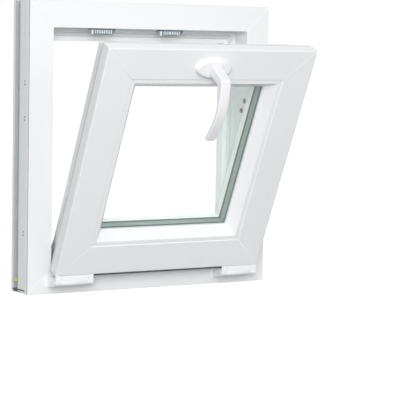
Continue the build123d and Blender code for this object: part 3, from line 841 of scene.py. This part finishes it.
class TILTWINDOW_OT_jamb_marks(bpy.types.Operator):
    """Fixings on both faces of the jambs, and the plugs and base joint of their outer sides"""
    bl_idname = "tiltwindow.jamb_marks"
    bl_label = "Side fixings"

    def execute(self, context):
        up = Vector((0, 0, 1))
        inward_y = Vector((0, 1, 0))
        side = FRAME_WIDTH / 2

        pair_heights, pair_row, pair_spread = (108, 312, 375), ROOM_FACE + 19, 2.8
        bm = bmesh.new()
        for sx in (-1, 1):
            for height in pair_heights:
                for offset in (-pair_spread, pair_spread):
                    spot = Vector((sx * (side - 0.25), pair_row, height + offset))
                    pan_head(bm, spot, Vector((sx, 0, 0)), inward_y, 1.7, 0.5)
        finish_mesh("side_fixings", bm, "steel_black_passivated", "frame")

        wall_screws = (-26.5, 344.4), (-16.1, 325.8)
        bm = bmesh.new()
        for sx in (-1, 1):
            for y, z in wall_screws:
                spot = Vector((sx * (side - FRAME_FACE), y, z))
                pan_head(bm, spot, Vector((-sx, 0, 0)), inward_y, 4.8, 1.5)
        finish_mesh("wall_fixings", bm, "steel_black_passivated", "frame")

        plug_row, plug_height, plug_depth = ROOM_FACE + 51.5, 21, 6
        plug = ((0, 6.4), (1.2, 6.3), (2.3, 5.9), (3.1, 5.2), (3.5, 4.2), (3.5, 3.2), (2.2, 2.9),
                (2.2, -0.3))
        bm = bmesh.new()
        for sx in (-1, 1):
            spot = Vector((sx * (side - plug_depth), plug_row, plug_height))
            lathe(bm, spot, Vector((sx, 0, 0)), inward_y, plug)
        finish_mesh("groove_plugs", bm, "polyethylene_plug_moulded", "frame")

        bm = bmesh.new()
        for sx in (-1, 1):
            path = [Vector((sx * (side - 2.6), ROOM_FACE + d, 2.6)) for d in (30, 31, 57, 58)]
            tube(bm, path, up, [Vector((sx, 0, 0))] * 4, 1.9, 2.75, sides=16)
        finish_mesh("groove_ends", bm, "rubber_seal_dark", "frame")

        joint_line = ((12, 5.4), (16, 5.9), (28, 6.0), (38, 5.8), (48, 5.4), (60, 5.0))
        bm = bmesh.new()
        for sx in (-1, 1):
            out = Vector((sx, 0, 0))
            path = [Vector((sx * side, ROOM_FACE + d, z)) for d, z in joint_line]
            tube(bm, path, up, [out] * 6, 1.25, 0.2, sides=10)
            path = [Vector((sx * (side - 3), ROOM_FACE + d, 5.2)) for d in (38, 40, 56, 58)]
            tube(bm, path, up, [out] * 4, 1.3, 3.1, sides=16)
        finish_mesh("base_joint", bm, "butyl_sealant_pressed", "frame")
        return {"FINISHED"}


class TILTWINDOW_OT_stage(bpy.types.Operator):
    """Pale floor, soft lamps, white surroundings and the camera"""
    bl_idname = "tiltwindow.stage"
    bl_label = "Stage"

    def execute(self, context):
        settings = context.scene.tilt_stage
        self.floor(settings)
        self.lamps(settings)
        self.world(settings)
        self.camera(context)
        context.scene.view_settings.view_transform = "Standard"
        return {"FINISHED"}

    def floor(self, settings):
        # Matt studio sheet, white to the camera with a faint mottle; it throws less light back up than
        # it shows, so the faces that look down stay shaded
        tree = new_material("studio_sheet_matt")
        seen = self.seen(tree, settings)
        sheet = add_node(tree, "ShaderNodeMix", {
            0: grain(tree, 300, 1.0), 6: srgb("#EDEEEF"), 7: srgb("#F1F2F2")}, data_type="RGBA")
        dimmed = (settings.bounce, settings.bounce, settings.bounce, 1)
        colour = add_node(tree, "ShaderNodeMix", {0: seen, 6: dimmed, 7: sheet.outputs[2]}, data_type="RGBA")
        matt = add_node(tree, "ShaderNodeBsdfDiffuse", {"Color": colour.outputs[2]})
        glow = add_node(tree, "ShaderNodeEmission", {"Color": (1, 1, 1, 1), "Strength": 0.6})
        none = add_node(tree, "ShaderNodeEmission", {"Color": (0, 0, 0, 1), "Strength": 0.0})
        lift = add_node(tree, "ShaderNodeMixShader", {0: seen, 1: none.outputs[0], 2: glow.outputs[0]})
        both = add_node(tree, "ShaderNodeAddShader", {0: matt.outputs[0], 1: lift.outputs[0]})
        add_node(tree, "ShaderNodeOutputMaterial", {"Surface": both.outputs[0]})
        bm = bmesh.new()
        bmesh.ops.create_circle(bm, cap_ends=True, segments=96, radius=90)
        mesh = bpy.data.meshes.new("floor")
        bm.to_mesh(mesh)
        bm.free()
        floor = bpy.data.objects.new("floor", mesh)
        bpy.context.scene.collection.objects.link(floor)
        floor.data.materials.append(bpy.data.materials["studio_sheet_matt"])

    def seen(self, tree, settings):
        """One for the rays that should meet a white backdrop, zero for those that light the window."""
        path = add_node(tree, "ShaderNodeLightPath")
        straight, glossy = path.outputs["Is Camera Ray"], path.outputs["Is Glossy Ray"]
        through = path.outputs["Is Transmission Ray"]
        first = add_node(tree, "ShaderNodeMath", {0: straight, 1: glossy}, operation="MAXIMUM")
        both = add_node(tree, "ShaderNodeMath", {0: first.outputs[0], 1: through}, operation="MAXIMUM")
        white = float(settings.white_backdrop)
        gate = add_node(tree, "ShaderNodeMath", {0: both.outputs[0], 1: white}, operation="MULTIPLY")
        return gate.outputs[0]

    def lamps(self, settings):
        frame_middle, sash_middle = Vector((0, 0, 0.25)), Vector((0, -0.1, 0.28))
        boxes = (   # name, share of the power, size in metres, place
            ("left_soft_box", 0.9, 1.2, Vector((-1.2, -2.1, 1.05))),
            ("right_soft_box", 0.1, 0.6, Vector((0.75, -1.9, 1.2))),
        )
        for name, share, size, place in boxes:
            box = bpy.data.lights.new(name, "AREA")
            box.shape = "SQUARE"
            box.size = size
            box.energy = settings.key * share
            self.place_lamp(box, place, sash_middle)
        fill = bpy.data.lights.new("fill_light", "SUN")
        fill.energy = settings.fill
        fill.angle = radians(34)
        self.place_lamp(fill, Vector((-0.95, -2.0, 0.5)), frame_middle)
        back = bpy.data.lights.new("back_light", "SUN")
        back.energy = settings.back
        back.angle = radians(60)
        self.place_lamp(back, Vector((0.7, 2.0, 0.95)), frame_middle)

    def place_lamp(self, lamp, place, target):
        holder = bpy.data.objects.new(lamp.name, lamp)
        holder.location = place
        holder.rotation_euler = (place - target).to_track_quat("Z", "Y").to_euler()
        bpy.context.scene.collection.objects.link(holder)

    def world(self, settings):
        world = bpy.data.worlds.new("studio_surroundings")
        world.use_nodes = True
        tree = world.node_tree
        tree.nodes.clear()
        light = add_node(tree, "ShaderNodeBackground", {"Color": (1, 1, 1, 1), "Strength": settings.ambient})
        white = add_node(tree, "ShaderNodeBackground", {"Color": (1, 1, 1, 1), "Strength": 1.0})
        mix = add_node(tree, "ShaderNodeMixShader", {0: self.seen(tree, settings), 1: light.outputs[0],
                                                     2: white.outputs[0]})
        add_node(tree, "ShaderNodeOutputWorld", {"Surface": mix.outputs[0]})
        bpy.context.scene.world = world

    def camera(self, context):
        # Where the photograph was taken from: to the left of the window, looking a little down
        place = Vector((-1.63543, -2.85014, 0.45623))
        yaw, pitch, roll = 0.5538, -0.0897, 0.0192
        focal_pixels, image_pixels, film = 1781.0, 400, 36.0
        forward = Vector((sin(yaw) * cos(pitch), cos(yaw) * cos(pitch), sin(pitch)))
        level = Vector((cos(yaw), -sin(yaw), 0))
        upright = level.cross(forward)
        right = level * cos(roll) + upright * sin(roll)
        up = upright * cos(roll) - level * sin(roll)
        data = bpy.data.cameras.new("camera")
        data.sensor_width = film
        data.lens = focal_pixels / image_pixels * film
        data.clip_end = 300
        camera = bpy.data.objects.new("camera", data)
        turn = Matrix((right, up, -forward)).transposed().to_4x4()
        camera.matrix_world = Matrix.Translation(place) @ turn
        context.scene.collection.objects.link(camera)
        context.scene.camera = camera


class TILTWINDOW_PT_panel(bpy.types.Panel):
    """The window's steps and settings"""
    bl_idname = "TILTWINDOW_PT_panel"
    bl_label = "Tilt window"
    bl_space_type = "VIEW_3D"
    bl_region_type = "UI"
    bl_category = "Tilt window"

    def draw(self, context):
        layout = self.layout
        for step in STEPS:
            layout.operator(step.bl_idname)
        for name in SETTINGS:
            box = layout.box()
            group = getattr(context.scene, name)
            for key in type(group).__annotations__:
                box.prop(group, key)


STEPS = (
    TILTWINDOW_OT_stage,
    TILTWINDOW_OT_finishes,
    TILTWINDOW_OT_welds,
    TILTWINDOW_OT_bead_joints,
    TILTWINDOW_OT_glazing,
    TILTWINDOW_OT_screws,
    TILTWINDOW_OT_hinge_caps,
    TILTWINDOW_OT_hinge_covers,
    TILTWINDOW_OT_shade_strip,
    TILTWINDOW_OT_keep_trim,
    TILTWINDOW_OT_handle_trim,
    TILTWINDOW_OT_jamb_marks,
)
SETTINGS = {
    "tilt_pvc": PvcSettings,
    "tilt_handle": HandleSettings,
    "tilt_metal": MetalSettings,
    "tilt_stage": StageSettings,
}


def register():
    for group in SETTINGS.values():
        bpy.utils.register_class(group)
    for step in STEPS:
        bpy.utils.register_class(step)
    bpy.utils.register_class(TILTWINDOW_PT_panel)
    for name, group in SETTINGS.items():
        setattr(bpy.types.Scene, name, PointerProperty(type=group))


def unregister():
    for name in SETTINGS:
        delattr(bpy.types.Scene, name)
    bpy.utils.unregister_class(TILTWINDOW_PT_panel)
    for step in reversed(STEPS):
        bpy.utils.unregister_class(step)
    for group in reversed(SETTINGS.values()):
        bpy.utils.unregister_class(group)


def main():
    register()
    for step in STEPS:
        group, action = step.bl_idname.split(".")
        getattr(getattr(bpy.ops, group), action)()


if __name__ == "__main__":
    main()
